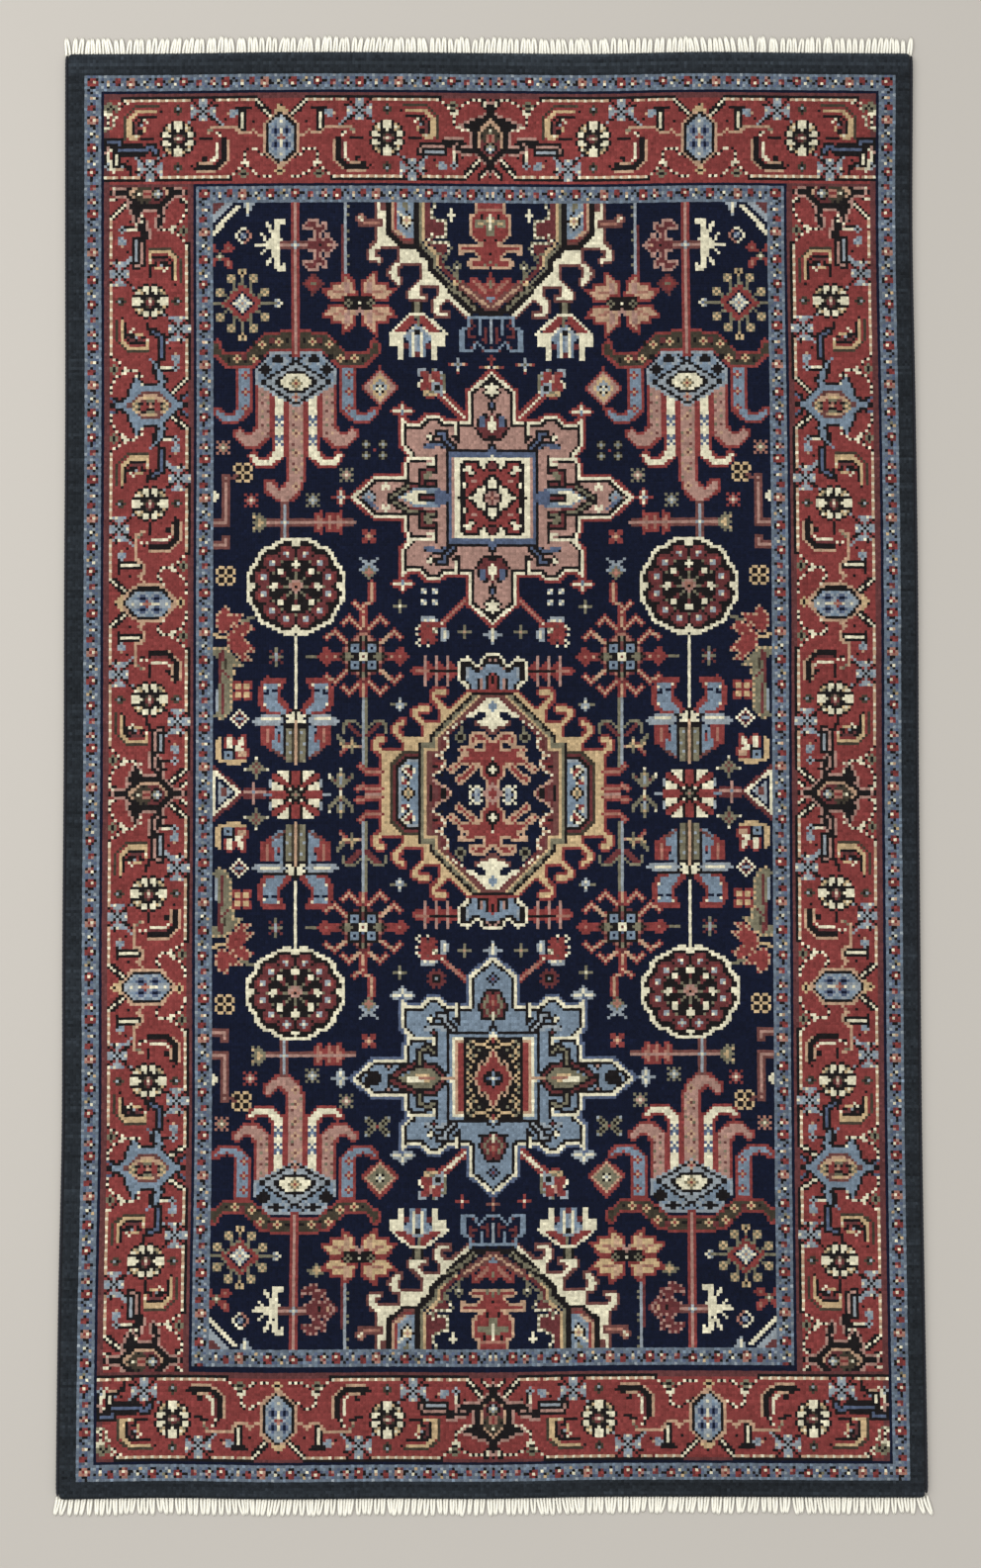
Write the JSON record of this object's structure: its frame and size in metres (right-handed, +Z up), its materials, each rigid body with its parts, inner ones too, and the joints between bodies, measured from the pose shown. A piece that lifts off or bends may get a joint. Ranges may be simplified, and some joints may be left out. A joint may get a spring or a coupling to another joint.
{
  "type": "hand-knotted wool rug",
  "caption": "Flat rectangular hand-knotted wool rug with a bordered tribal pattern, overcast side cords and a short cotton fringe at each end.",
  "frame": {"origin": "on the surface that the rug lies on, under the middle of its box", "axes": "+X across the width, +Y along the length towards the end shown at the top, +Z up out of the pile"},
  "size_m": [1.2226, 2.1057, 0.01],
  "materials": {
    "wool_pile": "matte knotted wool pile",
    "side_cord_wool": "matte overcast wool yarn",
    "fringe_cotton": "matte twisted cotton"
  },
  "bodies": {
    "root": {"rug_cloth": "wool_pile", "side_cord_left": "side_cord_wool", "side_cord_right": "side_cord_wool", "fringe_far_end": "fringe_cotton", "fringe_near_end": "fringe_cotton"}
  },
  "joints": []
}
